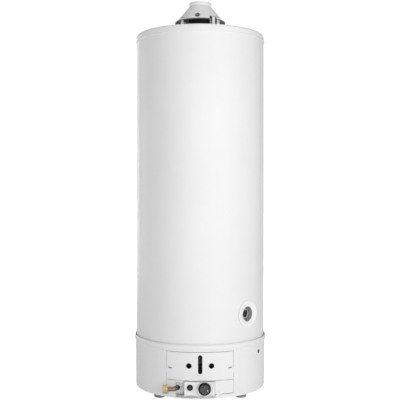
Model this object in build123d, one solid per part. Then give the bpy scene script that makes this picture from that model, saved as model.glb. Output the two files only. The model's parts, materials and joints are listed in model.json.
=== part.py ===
from build123d import *
import os
from math import asin, atan2, cos, degrees, radians, sin, sqrt

# Floor-standing gas storage water heater, about 150 litres, with its own burner and draught hood.
# Millimetres, +Z up, front is -Y. The origin is on the tank's axis, at floor level.

# ---- driving dimensions -------------------------------------------------------------------
JACKET_R = 247.5            # outside of the painted jacket
JACKET_T = 0.9
JACKET_FOOT_Z = 188.0       # the jacket stands on the ledge inside the base ring
JACKET_TOP_Z = 1347.0       # hidden under the lid's skirt

SHEET = 1.2                 # base ring, cover and panel sheet
BASE_FOOT_Z = 18.0
BASE_FOOT_R = 250.0
BASE_WALL_Z = 189.0         # top of the plain wall, where the bead starts
BASE_WALL_R = 251.6
BEAD_TOP_Z = 211.0
BEAD_R = 255.5
BEAD_LIP_R = 252.6          # the bead's open top edge, clear of the jacket

OPENING_X = 121.7           # half width of the front opening
OPENING_Z = (32.0, 186.0)
NOTCH_X = (-88.0, 55.5)     # the opening runs lower here, under the controls
NOTCH_Z = 21.0
SIDE_GAP = 0.8              # between the opening's sides and the cover and panels
ACCESS_Z = (83.4, 184.2)
PANEL_Z = (34.0, 82.0)
WINDOW_X = -88.0            # the left panel is cut away from here to the controls
WINDOW_TOP_Z = 76.5
PANEL_INNER_X = (-60.0, 54.2)
HEM = 9.0
SIGHT_SLOT = (15.6, 68.6)   # width and height
SIGHT_SLOT_Z = 141.6
COVER_HOLE_R = 9.9
COVER_HOLE_X = 40.6
COVER_HOLE_Z = 136.5
COVER_SCREW_X = 105.0
COVER_SCREW_Z = 121.8
HOOK_SLOT = (14.0, 3.6)     # level slot over each cover screw: width and height
HOOK_SLOT_X = 108.6
HOOK_SLOT_Z = 126.3
PANEL_SCREW_X = (-106.0, 69.8)
PANEL_SCREW_Z = 44.0
TAB_R = 251.0               # radius at which a distance along X is turned into an angle
VENT_R = 7.8
VENT_ANGLE = 60.7
VENT_Z = 163.0

FLOOR_PLATE_T = 1.5
PAN_R = 248.4
PAN_FLANGE_R = 248.1        # upturned front flange that closes the notch
PAN_FLANGE_TOP_Z = 29.5
FOOT_RING_R = 213.0
FOOT_PEG_R = 4.0
FOOT_PEG_RING_R = 202.0
FOOT_ANGLES = (45, 135, 225, 315)

LID_R = 248.6
LID_T = 1.0
LID_SKIRT_Z = 1341.0
LID_LIP_R = 250.2             # the skirt's lower edge, turned out over the jacket
LID_TOP_Z = 1368.0
LID_ROUND = 11.0

TANK_R = 216.0
TANK_T = 2.5
SKIRT_FOOT_Z = 94.0         # the tank shell runs down past the bottom head as the burner chamber
BOTTOM_HEAD_Z = 232.0
TOP_HEAD_Z = 1300.0
HEAD_RISE = 42.0
FLUE_R = 46.5
FLUE_T = 3.0
FLUE_TOP_Z = 1427.0

HOOD_RIM_R = 95.0
HOOD_RIM_Z = 1421.5
HOOD_NECK_R = 42.4
HOOD_NECK_Z = 1484.0
HOOD_T = 1.3                # measured level, so the sheet itself is about 1 mm
HOOD_SLOPE = (HOOD_RIM_R - HOOD_NECK_R) / (HOOD_NECK_Z - HOOD_RIM_Z)
RIM_ROLL_R = 2.2
HOOD_NOTCH_X = (36.5, 65.5)
HOOD_NOTCH_TOP_Z = 1434.0
SPIGOT_BORE_R = 40.1        # takes an 80 mm flue pipe
SPIGOT_TOP_Z = 1499.0
LEG_ANGLES = (50, 130, 230, 310)
LEG_R = 91.5
STRAP_ANGLE = 36.8          # the spill sensor lead's strap, degrees from the front towards +X
STRAP_R = 86.0
HOOD_FEET = (*LEG_ANGLES, STRAP_ANGLE)
HOOD_SCREW_R = 106.0
HOOD_FOOT_R = 111.0         # outer end of a hood foot
RIVET_Z = 1432.0
SENSOR_ANGLE = -6.6
SENSOR_Z = 1434.5

NIPPLE_X = 110.0
NIPPLE_Y = 60.0
NIPPLE_R = 13.2             # G 3/4 outside thread
NIPPLE_BORE_R = 10.6
NIPPLE_TOP_Z = 1400.0
ANODE_Y = 130.0

PORT_ANGLE = 45             # side port, degrees from the front towards +X
PORT_Z = 311.0
PORT_BORE_R = 12.06         # G 3/4 inside thread, at its crests
PORT_SOCKET_R = 17.9
PORT_CUP_R = (28.5, 26.3)   # outside and inside of the steel cup round the socket
PORT_HOLE_R = 29.0
PORT_RIM = 247.0            # the cup's mouth and the socket's front, as distances from the axis
PORT_SOCKET_FRONT = 236.0

WELL_X = 24.0
WELL_Z = 288.0
DOOR_X = 70.0
DOOR_Z = (106.0, 182.0)
DOOR_SCREW_ANGLE = 20.5
DOOR_SCREW_Z = 144.0
SIGHT_GLASS_Z = 150.0

PLATE_Y = -228.0            # front of the valve bracket
PLATE_T = 1.5
PLATE_X = (-97.0, 66.0)
PLATE_TOP_Z = 88.0
VALVE_BACK = -176.0
VALVE_TOP = 80.0
BOSS_FRONT_Y = -240.0
COVER_FRONT_Y = -255.0      # front of the white valve cover
COVER_X = (-57.0, 53.0)
COVER_Z = (31.0, 80.7)
KNOB_X = 16.0
KNOB_Z = 58.2
KNOB_R = 22.4
KNOB_Y = (-276.0, -260.3)   # its travel of 4.5 takes it to within 0.8 of the cover
HUB_BACK_Y = -250.0
SPINDLE_FRONT_Y = -272.0
PIEZO_X = -36.5
PIEZO_Z = 60.6
PIEZO_TERMINAL_Y = -205.0

PIPE_R = 7.5                # 15 mm copper gas pipe
PIPE_X = -87.0
PIPE_Y = -249.0
PIPE_Z = 54.0
GROMMET_X = -81.0
GROMMET_R = (8.9, 8.0)
INLET_X = -134.5            # open end of the gas inlet nut
NUT_LENGTH = 18.5
INLET_BORE_R = 9.3          # G 1/2 inside thread, at its crests
PIPE_END_X = -126.0         # the pipe's flared end, held inside the nut

LINE_Y = -86.0              # where the pilot's lines turn up through the chamber floor

UP = (Align.CENTER, Align.CENTER, Align.MIN)
CORNER = (Align.MIN, Align.MIN, Align.MIN)
SIDE_PLANE = Plane(origin=(0, 0, 0), x_dir=(0, -1, 0), z_dir=(-1, 0, 0))   # (radius, height) at the front
FAR = 400.0

parts = {}


# ---- shared shapes ------------------------------------------------------------------------
def rod(r, z0, z1, x=0, y=0):
    """An upright cylinder."""
    return Pos(x, y, z0) * Cylinder(r, z1 - z0, align=UP)


def tube(r_out, r_in, z0, z1, x=0, y=0):
    """An upright tube."""
    return rod(r_out, z0, z1, x, y) - rod(r_in, z0, z1, x, y)


def rod_y(r, y0, y1, x=0, z=0):
    """A cylinder along Y."""
    return Pos(x, y0, z) * Rot(-90, 0, 0) * Cylinder(r, y1 - y0, align=UP)


def rod_x(r, x0, x1, y=0, z=0):
    """A cylinder along X."""
    return Pos(x0, y, z) * Rot(0, 90, 0) * Cylinder(r, x1 - x0, align=UP)


def block(x0, x1, y0, y1, z0, z1):
    """A box between two corners."""
    return Pos(x0, y0, z0) * Box(x1 - x0, y1 - y0, z1 - z0, align=CORNER)


def turned(*edges):
    """A solid of revolution from an outline in (radius, height)."""
    return revolve(Plane.XZ * make_face(Curve() + list(edges)), Axis.Z)


def turned_polygon(*points):
    """A solid of revolution from a polygon in (radius, height)."""
    return revolve(Plane.XZ * make_face(Polyline(*points, close=True)), Axis.Z)


def strap(width, *points):
    """A bent strip at the front, from its side outline in (radius, height)."""
    return extrude(SIDE_PLANE * make_face(Polyline(*points, close=True)), width / 2, both=True)


def at(angle, shape):
    """Turn a shape made at the front round the tank's axis, towards +X."""
    return Rot(0, 0, angle) * shape


def pipe(r, points, bend):
    """A tube of solid metal along a route of straight runs joined by arcs."""
    route = FilletPolyline(*points, radius=bend)
    return sweep(Plane(route @ 0, z_dir=route % 0) * Circle(r), path=route)


def dome(r, z, rise, t, hole):
    """A dished head, bulging upwards, with a hole for the flue."""
    ball = (r * r + rise * rise) / (2 * rise)
    middle = Pos(0, 0, z + rise - ball)
    shell = middle * Sphere(ball) - middle * Sphere(ball - t)
    return shell & rod(r, z, z + rise + t) - rod(hole, z - t, z + 2 * rise)


def base_wall(depth=SHEET):
    """The plain wall of the base ring, all the way round, a given depth in from its outside."""
    height = BASE_WALL_Z - BASE_FOOT_Z
    outside = Cone(BASE_FOOT_R, BASE_WALL_R, height, align=UP)
    inside = Cone(BASE_FOOT_R - depth, BASE_WALL_R - depth, height, align=UP)
    return Pos(0, 0, BASE_FOOT_Z) * (outside - inside)


def wall_r(z):
    """Outside radius of the base ring's wall at a height."""
    return BASE_FOOT_R + (BASE_WALL_R - BASE_FOOT_R) * (z - BASE_FOOT_Z) / (BASE_WALL_Z - BASE_FOOT_Z)


def pan_screw(seat_r, z):
    """A slotted pan-head screw at the front, pointing inwards, with its head's seat at a radius."""
    r0 = seat_r + 0.06
    head = rod_y(4.6, -r0 - 2.4, -r0, 0, z)
    head = fillet(head.edges().filter_by(GeomType.CIRCLE).group_by(Axis.Y)[0], 1.2)
    shank = rod_y(1.9, -r0, -r0 + 7, 0, z)
    groove = block(-5, 5, -r0 - 3, -r0 - 1.4, z - 0.6, z + 0.6)
    return head + shank - groove


# ---- base ---------------------------------------------------------------------------------
def side_angle(x):
    """The angle from the front at which the wall reaches x."""
    return degrees(asin(x / TAB_R))


def wall_layer(depth):
    """The solid cone inside a layer at this depth behind the wall's outside."""
    height = BASE_WALL_Z - BASE_FOOT_Z
    return Pos(0, 0, BASE_FOOT_Z) * Cone(BASE_FOOT_R - depth, BASE_WALL_R - depth, height, align=UP)


def front_piece(shell, x0, x1, z0, z1):
    """The part of a ring that lies at the front between two X and two heights."""
    return shell & block(x0, x1, -FAR, -150, z0, z1)


def screw_tab(x0, x1, z0, z1, weld_x, weld_z):
    """A tab behind the opening's edge, with the strip that joins it to the wall."""
    tab = front_piece(wall_layer(1.3) - wall_layer(2.8), x0, x1, z0, z1)
    return tab + front_piece(base_wall(1.4), *weld_x, *weld_z)


def base_ring():
    bead = turned(
        ThreePointArc((BASE_WALL_R, BASE_WALL_Z), (BEAD_R, 199.5), (BEAD_LIP_R, BEAD_TOP_Z)),
        Line((BEAD_LIP_R, BEAD_TOP_Z), (BEAD_LIP_R - SHEET, BEAD_TOP_Z)),
        ThreePointArc(
            (BEAD_LIP_R - SHEET, BEAD_TOP_Z),
            (BEAD_R - SHEET, 199.5),
            (BASE_WALL_R - SHEET, BASE_WALL_Z),
        ),
        Line((BASE_WALL_R - SHEET, BASE_WALL_Z), (BASE_WALL_R, BASE_WALL_Z)),
    )
    ledge = tube(251.0, 243.0, JACKET_FOOT_Z - SHEET, JACKET_FOOT_Z)
    ring = base_wall() + bead + ledge
    ring -= block(-OPENING_X, OPENING_X, -FAR, -150, *OPENING_Z)
    ring -= block(*NOTCH_X, -FAR, -150, NOTCH_Z, OPENING_Z[0] + 1)
    ring -= at(VENT_ANGLE, rod_y(VENT_R, -270, -230, 0, VENT_Z))
    for side in (-1, 1):
        x0, x1 = sorted((side * 97, side * 142))
        weld_x = sorted((side * 125, side * 140))
        tab = screw_tab(x0, x1, 106, 124, weld_x, (108, 122))
        # open at the top, so that the cover lifts off forwards with its screws
        notch = block(-4.5, 4.5, -260, -230, COVER_SCREW_Z - 3, 125)
        ring += tab - at(side * side_angle(COVER_SCREW_X), notch)
    for x in PANEL_SCREW_X:
        tab = screw_tab(x - 8, x + 8, 24, 52, (x - 7, x + 7), (24, 31))
        ring += tab - at(side_angle(x), rod_y(2.0, -260, -230, 0, PANEL_SCREW_Z))
    return ring


def base_pan():
    top = BASE_FOOT_Z + FLOOR_PLATE_T
    pan = rod(PAN_R, BASE_FOOT_Z, top) + tube(PAN_R, PAN_R - SHEET, BASE_FOOT_Z, 21.7)
    flange = tube(PAN_FLANGE_R, PAN_FLANGE_R - SHEET, BASE_FOOT_Z, PAN_FLANGE_TOP_Z)
    pan += front_piece(flange, NOTCH_X[0] - 2, NOTCH_X[1] + 2, BASE_FOOT_Z, PAN_FLANGE_TOP_Z)
    pan -= rod(60, BASE_FOOT_Z - 1, top + 1)
    for angle in range(15, 375, 30):
        pan -= at(angle, Pos(0, -115, BASE_FOOT_Z - 1) * extrude(Rot(0, 0, 90) * SlotOverall(60, 14), 4))
    for angle in FOOT_ANGLES:
        pan -= at(angle, rod(FOOT_PEG_R + 0.1, BASE_FOOT_Z - 1, top + 1, 0, -FOOT_PEG_RING_R))
    return pan


def feet():
    foot = Pos(0, -FOOT_RING_R, 0) * Cone(20.0, 23.0, BASE_FOOT_Z, align=UP)
    foot = fillet(foot.edges().group_by(Axis.Z)[0], 3)
    foot += rod(FOOT_PEG_R, BASE_FOOT_Z - 2, 26, 0, -FOOT_PEG_RING_R)
    return Compound([at(angle, foot) for angle in FOOT_ANGLES])


def tank_legs():
    low = BASE_FOOT_Z + FLOOR_PLATE_T
    inner, outer, thick = 190, 215, 3
    leg = strap(
        40,
        (inner, low), (inner, low + thick),
        (outer - thick, low + thick), (outer - thick, SKIRT_FOOT_Z - thick),
        (inner, SKIRT_FOOT_Z - thick), (inner, SKIRT_FOOT_Z), (outer, SKIRT_FOOT_Z), (outer, low),
    )
    leg -= rod(FOOT_PEG_R + 0.1, low - 1, low + thick + 1, 0, -FOOT_PEG_RING_R)
    return Compound([at(angle, leg) for angle in FOOT_ANGLES])


def access_cover():
    x = OPENING_X - SIDE_GAP
    z0, z1 = ACCESS_Z
    cover = front_piece(base_wall(), -x, x, z0, z1)
    hem = front_piece(base_wall(HEM), -x, x, z0, z1)
    hem -= block(SHEET - x, x - SHEET, -FAR, 0, z0 - 1, z1 - SHEET)
    # the side hems stop short of the screw tabs
    cover += hem - block(-FAR, FAR, -FAR, 0, 104, 131)
    slot = extrude(SlotOverall(SIGHT_SLOT[1], SIGHT_SLOT[0], rotation=90), 120, both=True)
    cover -= Pos(0, -FAR / 2, SIGHT_SLOT_Z) * Rot(90, 0, 0) * slot
    hook_slot = Rot(90, 0, 0) * extrude(SlotOverall(*HOOK_SLOT), 120, both=True)
    for side in (-1, 1):
        cover -= rod_y(COVER_HOLE_R, -260, -230, side * COVER_HOLE_X, COVER_HOLE_Z)
        cover -= Pos(side * HOOK_SLOT_X, -FAR / 2, HOOK_SLOT_Z) * hook_slot
        cover -= at(side * side_angle(COVER_SCREW_X), rod_y(2.0, -260, -240, 0, COVER_SCREW_Z))
    return cover


def cover_screws():
    screw = pan_screw(wall_r(COVER_SCREW_Z), COVER_SCREW_Z)
    return Compound([at(side * side_angle(COVER_SCREW_X), screw) for side in (-1, 1)])


def lower_panel_left():
    panel = front_piece(base_wall(), SIDE_GAP - OPENING_X, PANEL_INNER_X[0], *PANEL_Z)
    panel -= block(WINDOW_X, PANEL_INNER_X[0] + 1, -FAR, -150, PANEL_Z[0] - 1, WINDOW_TOP_Z)
    panel -= rod_y(PIPE_R + 1.1, -FAR, -150, PIPE_X, PIPE_Z)
    return panel - at(side_angle(PANEL_SCREW_X[0]), rod_y(2.0, -260, -240, 0, PANEL_SCREW_Z))


def lower_panel_right():
    panel = front_piece(base_wall(), PANEL_INNER_X[1], OPENING_X - SIDE_GAP, *PANEL_Z)
    return panel - at(side_angle(PANEL_SCREW_X[1]), rod_y(2.0, -260, -240, 0, PANEL_SCREW_Z))


# ---- jacket, lid and insulation -----------------------------------------------------------
def port_hole(r):
    return at(PORT_ANGLE, rod_y(r, -FAR, -150, 0, PORT_Z))


def jacket():
    body = tube(JACKET_R, JACKET_R - JACKET_T, JACKET_FOOT_Z, JACKET_TOP_Z)
    seam = tube(JACKET_R + 0.8, JACKET_R - 0.2, 214, 1339) & block(-9, 9, 200, 260, 200, 1340)
    return body + seam - port_hole(PORT_HOLE_R + 0.5)


def lid():
    inner = LID_R - LID_T
    centre_r = LID_R - LID_ROUND
    bend_z = LID_TOP_Z - LID_ROUND
    bend = sqrt(0.5)
    small = LID_ROUND - LID_T
    shell = turned(
        Line((FLUE_R + 1.5, LID_TOP_Z), (centre_r, LID_TOP_Z)),
        ThreePointArc(
            (centre_r, LID_TOP_Z),
            (centre_r + bend * LID_ROUND, bend_z + bend * LID_ROUND),
            (LID_R, bend_z),
        ),
        Line((LID_R, bend_z), (LID_R, LID_SKIRT_Z + 3.6)),
        Line((LID_R, LID_SKIRT_Z + 3.6), (LID_LIP_R, LID_SKIRT_Z + 2.0)),
        Line((LID_LIP_R, LID_SKIRT_Z + 2.0), (LID_LIP_R, LID_SKIRT_Z)),
        Line((LID_LIP_R, LID_SKIRT_Z), (inner, LID_SKIRT_Z)),
        Line((inner, LID_SKIRT_Z), (inner, bend_z)),
        ThreePointArc(
            (inner, bend_z),
            (centre_r + bend * small, bend_z + bend * small),
            (centre_r, LID_TOP_Z - LID_T),
        ),
        Line((centre_r, LID_TOP_Z - LID_T), (FLUE_R + 1.5, LID_TOP_Z - LID_T)),
        Line((FLUE_R + 1.5, LID_TOP_Z - LID_T), (FLUE_R + 1.5, LID_TOP_Z)),
    )
    low, high = LID_TOP_Z - 5, LID_TOP_Z + 5
    for x in (-NIPPLE_X, NIPPLE_X):
        shell -= rod(NIPPLE_R + 1, low, high, x, NIPPLE_Y)
    shell -= rod(NIPPLE_R + 1, low, high, 0, ANODE_Y)
    for angle in HOOD_FEET:
        shell -= at(angle, rod(2.0, low, high, 0, -HOOD_SCREW_R))
    return shell


def head_height(r, gap):
    """Height of a layer this far above the tank's top head, at a radius."""
    ball = (TANK_R ** 2 + HEAD_RISE ** 2) / (2 * HEAD_RISE)
    return TOP_HEAD_Z + HEAD_RISE - ball + sqrt((ball + gap) ** 2 - r ** 2)


def insulation():
    top = LID_TOP_Z - LID_T - 0.5
    outer_r = JACKET_R - JACKET_T - 0.4
    inner_r = TANK_R + 0.3
    flue_r = FLUE_R + 1.5
    bend_r, bend_z = outer_r - LID_ROUND, top - LID_ROUND
    bend = sqrt(0.5) * LID_ROUND
    foam = turned(
        Line((inner_r, JACKET_FOOT_Z), (outer_r, JACKET_FOOT_Z)),
        Line((outer_r, JACKET_FOOT_Z), (outer_r, bend_z)),
        ThreePointArc((outer_r, bend_z), (bend_r + bend, bend_z + bend), (bend_r, top)),
        Line((bend_r, top), (flue_r, top)),
        Line((flue_r, top), (flue_r, head_height(flue_r, 0.6))),
        ThreePointArc((flue_r, head_height(flue_r, 0.6)), (140, head_height(140, 0.6)),
                      (inner_r, head_height(inner_r, 0.6))),
        Line((inner_r, head_height(inner_r, 0.6)), (inner_r, JACKET_FOOT_Z)),
    )
    for x in (-NIPPLE_X, NIPPLE_X):
        foam -= rod(NIPPLE_R + 0.8, 1300, 1400, x, NIPPLE_Y)
    foam -= rod(NIPPLE_R + 0.8, 1300, 1400, 0, ANODE_Y)
    foam -= port_hole(PORT_HOLE_R + 0.5)
    # the upright channel that the thermostat's capillary runs up, and the room for the well's head
    foam -= block(WELL_X - 12, WELL_X + 12, -FAR, -200, JACKET_FOOT_Z - 1, WELL_Z + 14)
    for angle in HOOD_FEET:
        foam -= at(angle, rod(2.5, top - 6, top + 1, 0, -HOOD_SCREW_R))
    return foam


# ---- tank ---------------------------------------------------------------------------------
def tank_shell():
    shell = tube(TANK_R, TANK_R - TANK_T, SKIRT_FOOT_Z, TOP_HEAD_Z)
    shell -= block(-DOOR_X, DOOR_X, -FAR, -150, *DOOR_Z)
    shell -= port_hole(PORT_SOCKET_R + 0.1)
    shell -= rod_y(7.0, -FAR, -150, WELL_X, WELL_Z)
    for side in (-1, 1):
        shell -= at(side * DOOR_SCREW_ANGLE, rod_y(2.0, -FAR, -200, 0, DOOR_SCREW_Z))
    return shell


def tank_top_head():
    head = dome(TANK_R, TOP_HEAD_Z, HEAD_RISE, TANK_T, FLUE_R)
    for x in (-NIPPLE_X, NIPPLE_X):
        head -= rod(NIPPLE_R, 1300, 1400, x, NIPPLE_Y)
    return head - rod(NIPPLE_R, 1300, 1400, 0, ANODE_Y)


def tank_bottom_head():
    return dome(TANK_R - TANK_T, BOTTOM_HEAD_Z, HEAD_RISE, TANK_T, FLUE_R)


def flue_tube():
    return tube(FLUE_R, FLUE_R - FLUE_T, 264, FLUE_TOP_Z)


def flue_baffle():
    """A zigzag strip that slows the burnt gas, hung from a bar across the top of the flue."""
    width, reach, pitch, level_t = 60, 26, 42, 2.4
    folds = 24
    left = [(-1, FLUE_TOP_Z)]
    for fold in range(1, folds):
        left.append((reach * (-1) ** fold - level_t / 2, FLUE_TOP_Z - 10 - pitch * fold))
    right = [(x + level_t, z) for x, z in reversed(left)]
    strip = extrude(Plane.XZ * make_face(Polyline(*left, *right, close=True)), width / 2, both=True)
    bar = block(-46, 46, -9, 9, FLUE_TOP_Z, FLUE_TOP_Z + 1.5)
    neck = block(-1, 1, -9, 9, FLUE_TOP_Z - 8, FLUE_TOP_Z + 0.5)
    return strip + bar + neck


def nipple(side):
    """A steel nipple welded into the tank's top head, with its thread above the lid."""
    thread_z = LID_TOP_Z + 6
    body = rod(NIPPLE_R - 0.2, 1316, thread_z) + rod(NIPPLE_R, thread_z, NIPPLE_TOP_Z)
    return Pos(side * NIPPLE_X, NIPPLE_Y, 0) * (body - rod(NIPPLE_BORE_R, 1315, NIPPLE_TOP_Z + 1))


def nipple_ring(side):
    ring = tube(21, NIPPLE_R + 0.15, LID_TOP_Z, LID_TOP_Z + 4)
    rims = ring.edges().filter_by(GeomType.CIRCLE).group_by(Axis.Z)[-1]
    ring = chamfer(rims.sort_by(SortBy.RADIUS)[-1], 1.5)
    return Pos(side * NIPPLE_X, NIPPLE_Y, 0) * ring


def dip_tube():
    """The plastic tube that takes cold water down to the bottom of the tank."""
    body = rod(NIPPLE_BORE_R - 0.2, 300, NIPPLE_TOP_Z) + rod(12.6, NIPPLE_TOP_Z, NIPPLE_TOP_Z + 1.5)
    body -= rod(NIPPLE_BORE_R - 2, 299, NIPPLE_TOP_Z + 2)
    return Pos(NIPPLE_X, NIPPLE_Y, 0) * body


def anode_plug():
    plug = rod(NIPPLE_R, 1318, LID_TOP_Z + 5)
    plug += Pos(0, 0, LID_TOP_Z + 5) * extrude(RegularPolygon(18.5, 6), 12)
    return Pos(0, ANODE_Y, 0) * plug


def anode_rod():
    return Pos(0, ANODE_Y, 0) * fillet(rod(10.5, 880, 1318).edges().group_by(Axis.Z)[0], 3)


def thermowell():
    well = rod_y(7.0, -221, -118, WELL_X, WELL_Z) + rod_y(10, -223, -217, WELL_X, WELL_Z)
    return well - rod_y(5.2, -224, -121, WELL_X, WELL_Z)


def thermostat_bulb():
    """The sensing bulb, with its capillary down to the gas valve."""
    bulb = rod_y(4.9, -212, -124, WELL_X, WELL_Z)
    route = [(-222, VALVE_TOP), (-222, 93), (-228, 105), (-228, WELL_Z), (-212, WELL_Z)]
    return bulb + pipe(1.2, [(WELL_X, y, z) for y, z in route], [8, 8, 8])


# ---- side port ----------------------------------------------------------------------------
def side_port_socket():
    """The welded socket that the side pipe screws into, in a steel cup that keeps the foam away."""
    outer_r, inner_r = PORT_CUP_R
    back = TANK_R + 0.5
    body = rod_y(outer_r, -PORT_RIM + 0.3, -back, 0, PORT_Z) - rod_y(inner_r, -PORT_RIM, -back - 2, 0, PORT_Z)
    body += rod_y(PORT_SOCKET_R, -PORT_SOCKET_FRONT, -208, 0, PORT_Z)
    return at(PORT_ANGLE, body - rod_y(PORT_BORE_R, -240, -207, 0, PORT_Z))


def side_port_escutcheon():
    """The dished trim ring on the jacket, round the cup's mouth."""
    ring = rod_y(49, -252, -230, 0, PORT_Z)
    ring = fillet(ring.edges().filter_by(GeomType.CIRCLE).group_by(Axis.Y)[0], 2.5)
    # a shadow gap under the rim, and a dish that falls to the cup's mouth
    ring -= rod_y(60, -248.6, -230, 0, PORT_Z) - rod_y(46.5, -248.6, -230, 0, PORT_Z)
    ring -= rod_y(42, -254, -250.6, 0, PORT_Z)
    dish = Pos(0, -PORT_RIM, PORT_Z) * Rot(90, 0, 0) * Cone(PORT_CUP_R[1], 40, 3.6, align=UP)
    ring -= dish + rod_y(PORT_CUP_R[1], -260, -200, 0, PORT_Z)
    ring -= rod_y(PORT_CUP_R[0] + 0.3, -PORT_RIM + 0.2, -200, 0, PORT_Z)
    return at(PORT_ANGLE, ring - rod(JACKET_R + 0.05, 200, 400))


# ---- burner chamber -----------------------------------------------------------------------
def chamber_floor():
    plate = rod(TANK_R - TANK_T - 0.2, SKIRT_FOOT_Z, SKIRT_FOOT_Z + FLOOR_PLATE_T)
    plate -= rod(30, 90, 100)
    for angle in range(0, 360, 45):
        plate -= at(angle + 22.5, rod(14, 90, 100, 0, -120))
    # the slot that the pilot's lines come up through
    return plate - block(-42, 4, LINE_Y - 6, LINE_Y + 6, 90, 100)


def chamber_door():
    """The inner door, with a raised frame round its sight glass."""
    gap = 0.2
    door = tube(TANK_R + gap + 1.5, TANK_R + gap, 98, 188) & block(-82, 82, -FAR, -150, 97, 189)
    frame = rod_y(21, -224, -210, 0, SIGHT_GLASS_Z) - rod(TANK_R + gap + 1, 90, 200)
    door += frame
    door -= rod_y(13, -230, -200, 0, SIGHT_GLASS_Z) + rod_y(17, -222.6, -220.5, 0, SIGHT_GLASS_Z)
    for side in (-1, 1):
        door -= at(side * DOOR_SCREW_ANGLE, rod_y(2.0, -FAR, -200, 0, DOOR_SCREW_Z))
    return door


def sight_glass():
    return rod_y(16.9, -222.5, -220.6, 0, SIGHT_GLASS_Z)


def burner():
    """The round burner: a hollow head with ports round its rim, on its mixing tube."""
    head_r, low, high = 75, 130, 150
    head = rod(head_r, low, high)
    head = fillet(head.edges().group_by(Axis.Z)[-1], 6)
    head -= rod(head_r - 2, low + 2, high - 8) + rod(head_r - 12, low + 2, high - 3)
    head += tube(14, 12, 112, low + 1) + tube(20, 12, 112, 114)
    head -= rod(12, 111, low + 3)
    ports = [at(angle, block(-1, 1, -head_r - 2, -head_r + 5, 136, 141)) for angle in range(0, 360, 9)]
    return head - Compound(ports)


def burner_legs():
    foot = SKIRT_FOOT_Z + FLOOR_PLATE_T
    leg = strap(14, (44, foot), (44, foot + 2), (62, foot + 2), (62, 130), (64, 130), (64, foot))
    return Compound([at(angle, leg) for angle in (60, 180, 300)])


def injector():
    body = Pos(0, 0, 92) * extrude(RegularPolygon(9, 6), 10) + rod(4.5, 102, 109)
    return body - rod(0.9, 105, 110) - rod(3.2, 91, 105)


def burner_gas_pipe():
    return pipe(5, [(14, VALVE_BACK, 58), (14, -70, 58), (0, -30, 58), (0, 0, 58), (0, 0, 92)], [30, 30, 14])


def pilot_burner():
    """The pilot, with the plate under the burner's edge that holds it, the thermocouple and the electrode."""
    plate = block(-44, 8, LINE_Y - 8, -58, 128.4, 129.9)
    tip = rod(4, 118, 152, -16, LINE_Y) - rod(2.4, 121, 150.5, -16, LINE_Y)
    tip -= block(-18, -14, LINE_Y, LINE_Y + 6, 144, 149)
    plate -= rod(2.6, 120, 140, -2, LINE_Y) + rod(3.2, 120, 140, PIEZO_X, LINE_Y)
    return plate + tip


def pilot_tube():
    return pipe(2, [(-16, VALVE_BACK, 66), (-16, LINE_Y, 66), (-16, LINE_Y, 118)], [12])


def thermocouple():
    tip = rod(2.5, 116, 158, -2, LINE_Y)
    return tip + pipe(1.2, [(-2, VALVE_BACK, 72), (-2, LINE_Y, 72), (-2, LINE_Y, 117)], [12])


def spark_electrode():
    return rod(3, 110, 142, PIEZO_X, LINE_Y) + rod(0.9, 141, 154, PIEZO_X, LINE_Y)


def ignition_lead():
    route = [(PIEZO_TERMINAL_Y, 75), (PIEZO_TERMINAL_Y, 87), (LINE_Y, 87), (LINE_Y, 110)]
    return pipe(1.5, [(PIEZO_X, y, z) for y, z in route], [8, 8])


# ---- gas control --------------------------------------------------------------------------
def pipe_notch(r, y0, y1):
    """The round-ended shape, open to the left, that the gas pipe passes through."""
    left = PLATE_X[0] - 2
    return rod_y(r, y0, y1, GROMMET_X, PIPE_Z) + block(left, GROMMET_X, y0, y1, PIPE_Z - r, PIPE_Z + r)


def valve_bracket():
    """The upright plate that holds the gas valve, the igniter and the gas pipe's grommet."""
    back = PLATE_Y + PLATE_T
    low = BASE_FOOT_Z + FLOOR_PLATE_T
    plate = block(*PLATE_X, PLATE_Y, back, low, PLATE_TOP_Z)
    plate += block(*PLATE_X, PLATE_Y, PLATE_Y + 26, low, low + PLATE_T)
    plate += block(*PLATE_X, PLATE_Y, PLATE_Y + 10, PLATE_TOP_Z - PLATE_T, PLATE_TOP_Z)
    plate -= pipe_notch(GROMMET_R[0] + 0.05, PLATE_Y - 1, back + 1)
    plate -= rod_y(9.2, PLATE_Y - 1, back + 1, KNOB_X, KNOB_Z)
    plate -= rod_y(9.2, PLATE_Y - 1, back + 1, PIEZO_X, PIEZO_Z)
    # room for the thermostat's capillary
    return plate - block(WELL_X - 3, WELL_X + 3, PLATE_Y + 2, PLATE_Y + 11, PLATE_TOP_Z - 2, PLATE_TOP_Z + 1)


def gas_valve_body():
    """The cast body that the inlet, the burner and the pilot all join."""
    back = PLATE_Y + PLATE_T
    body = block(-22, 48, back, VALVE_BACK, 36, VALVE_TOP)
    body = fillet(body.edges().filter_by(Axis.Y), 4)
    body += rod_y(9, BOSS_FRONT_Y, back + 1, KNOB_X, KNOB_Z)
    body += rod_x(12, -24, -20, -186, PIPE_Z - 1)
    body -= rod_y(4.05, BOSS_FRONT_Y - 1, -198, KNOB_X, KNOB_Z)
    return body - rod_y(3.05, -199, -185, KNOB_X, KNOB_Z)


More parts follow.
